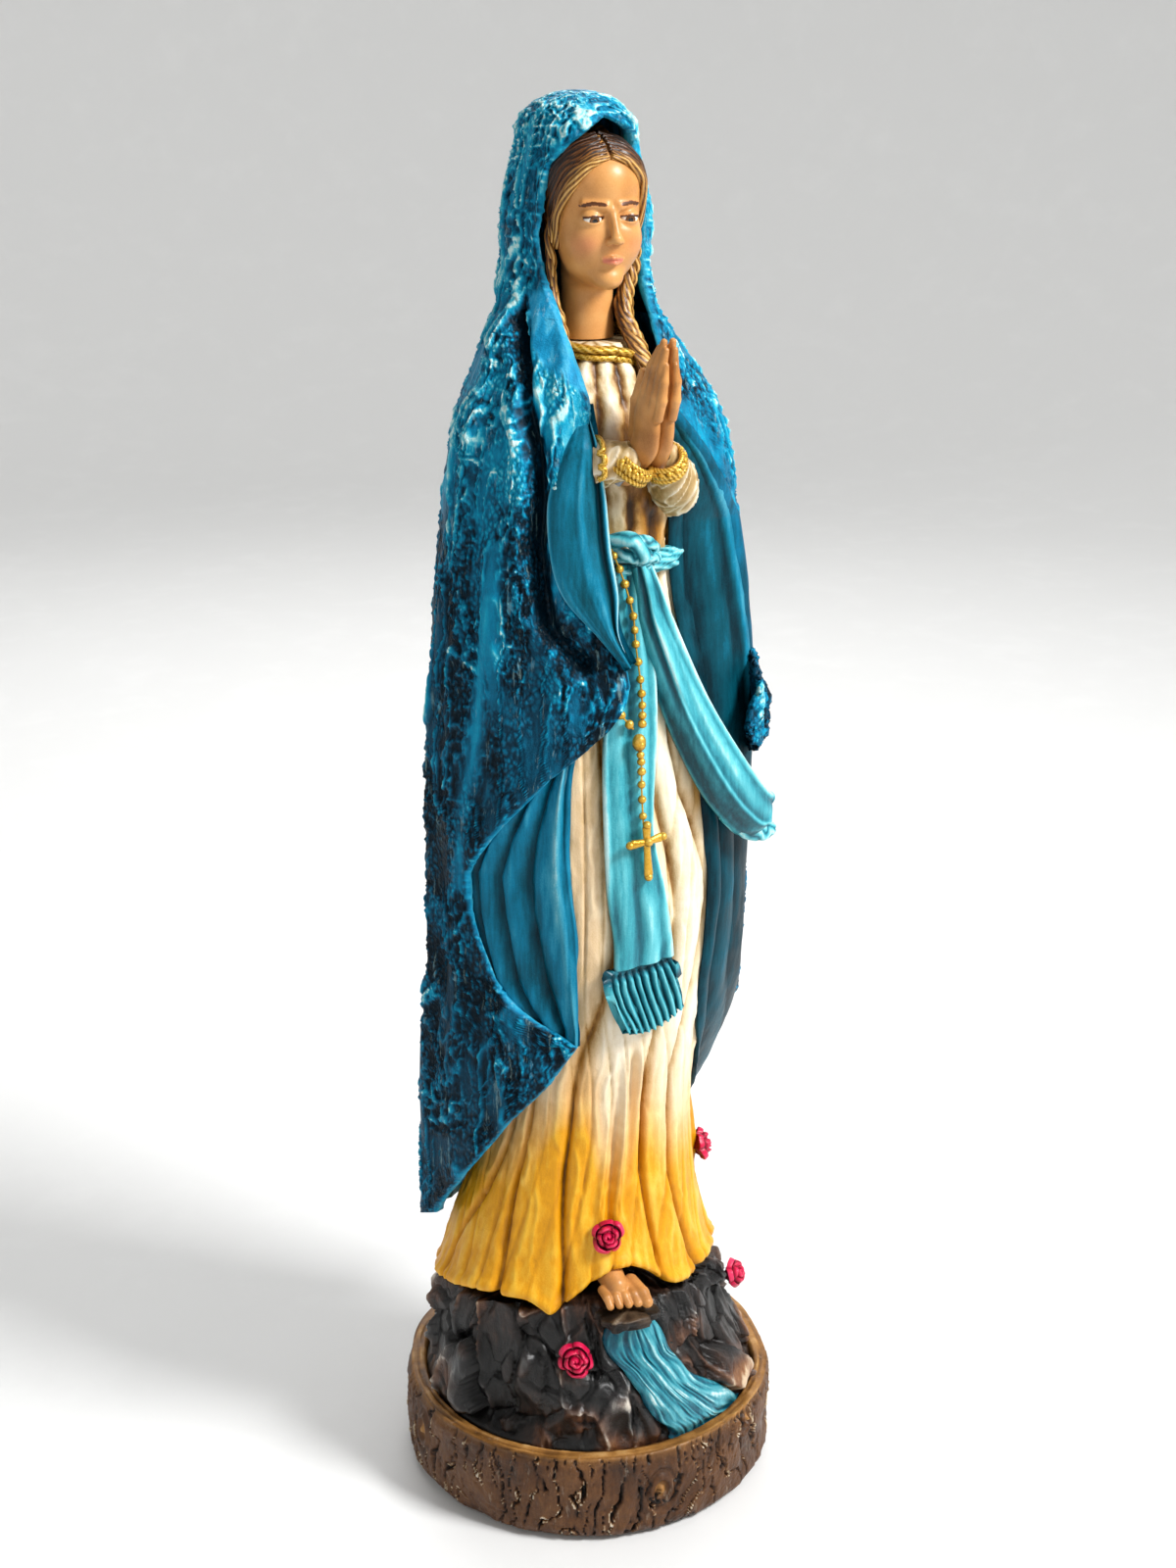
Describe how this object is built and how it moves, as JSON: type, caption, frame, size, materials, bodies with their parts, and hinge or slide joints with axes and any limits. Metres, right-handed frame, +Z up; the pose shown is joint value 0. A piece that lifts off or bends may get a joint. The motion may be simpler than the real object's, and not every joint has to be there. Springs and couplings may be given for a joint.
{
  "type": "madonna statue",
  "caption": "Standing praying Madonna figure in a hooded blue mantle and sashed gown, on a rock mound set in a round log-slice base; cast painted resin, flat felt underside.",
  "frame": {"origin": "centre of the felt underside, the face that the statue stands on", "axes": "+Z up through the figure, -Y the way the figure faces, -X towards the figure's right hand"},
  "size_m": [0.112, 0.112, 0.4],
  "materials": {
    "felt": "dark green felt",
    "bark": "cast bark, dark brown wash with pale dry-brushed ridges",
    "steel": "plain zinc-plated steel",
    "dowel_wood": "bare hardwood",
    "rock": "charcoal paint with rust wash and pale dry-brushed edges",
    "ledge_stone": "brown stone paint, satin",
    "water_paint": "turquoise streaked paint, satin gloss",
    "rose": "magenta hand-painted, satin",
    "skin": "warm flesh paint with ochre wash, satin",
    "gown_cream": "cream paint that turns to yellow ochre at the hem",
    "sleeve_cream": "cream paint with grey wash in the folds",
    "sash": "pale turquoise paint with dark wash in the grooves",
    "gold_paint": "gold metallic paint",
    "hair": "bronze-brown metallic paint",
    "mantle_blue": "blue paint over thick impasto ridges, pale dry-brushed",
    "mantle_lining": "blue paint, smooth with vertical brush streaks"
  },
  "bodies": {
    "root": {"felt_pad": "felt", "log_base": "bark", "screw_washer": "steel", "figure_screw": "steel", "locating_dowels": "dowel_wood", "rock_mound": "rock", "spring_ledge": "ledge_stone", "water_stream": "water_paint", "gown_rose_front": "rose", "gown_rose_side": "rose", "rock_rose_front": "rose", "rock_rose_side": "rose", "right_foot": "skin", "gown_skirt": "gown_cream", "gown_bodice": "gown_cream", "sash_belt": "sash", "sash_knot": "sash", "sash_front_tail": "sash", "sash_front_fringe": "sash", "sash_side_tail": "sash", "sash_side_fringe": "sash", "right_hand": "skin", "left_hand": "skin", "right_cuff": "gold_paint", "left_cuff": "gold_paint", "right_sleeve": "sleeve_cream", "left_sleeve": "sleeve_cream", "wrist_pins": "steel", "neck_pin": "steel", "head": "skin", "hair_crown": "hair", "hair_locks_right": "hair", "hair_locks_left": "hair", "collar_trim": "gold_paint", "mantle_shell": "mantle_blue", "mantle_side_flap": "mantle_lining", "mantle_swag": "mantle_blue", "mantle_arm_fold": "mantle_lining", "mantle_left_turnback": "mantle_blue", "rosary_long_strand": "gold_paint", "rosary_short_strand": "gold_paint", "rosary_pendant": "gold_paint", "rosary_centrepiece": "gold_paint", "rosary_cross": "gold_paint"}
  },
  "joints": []
}
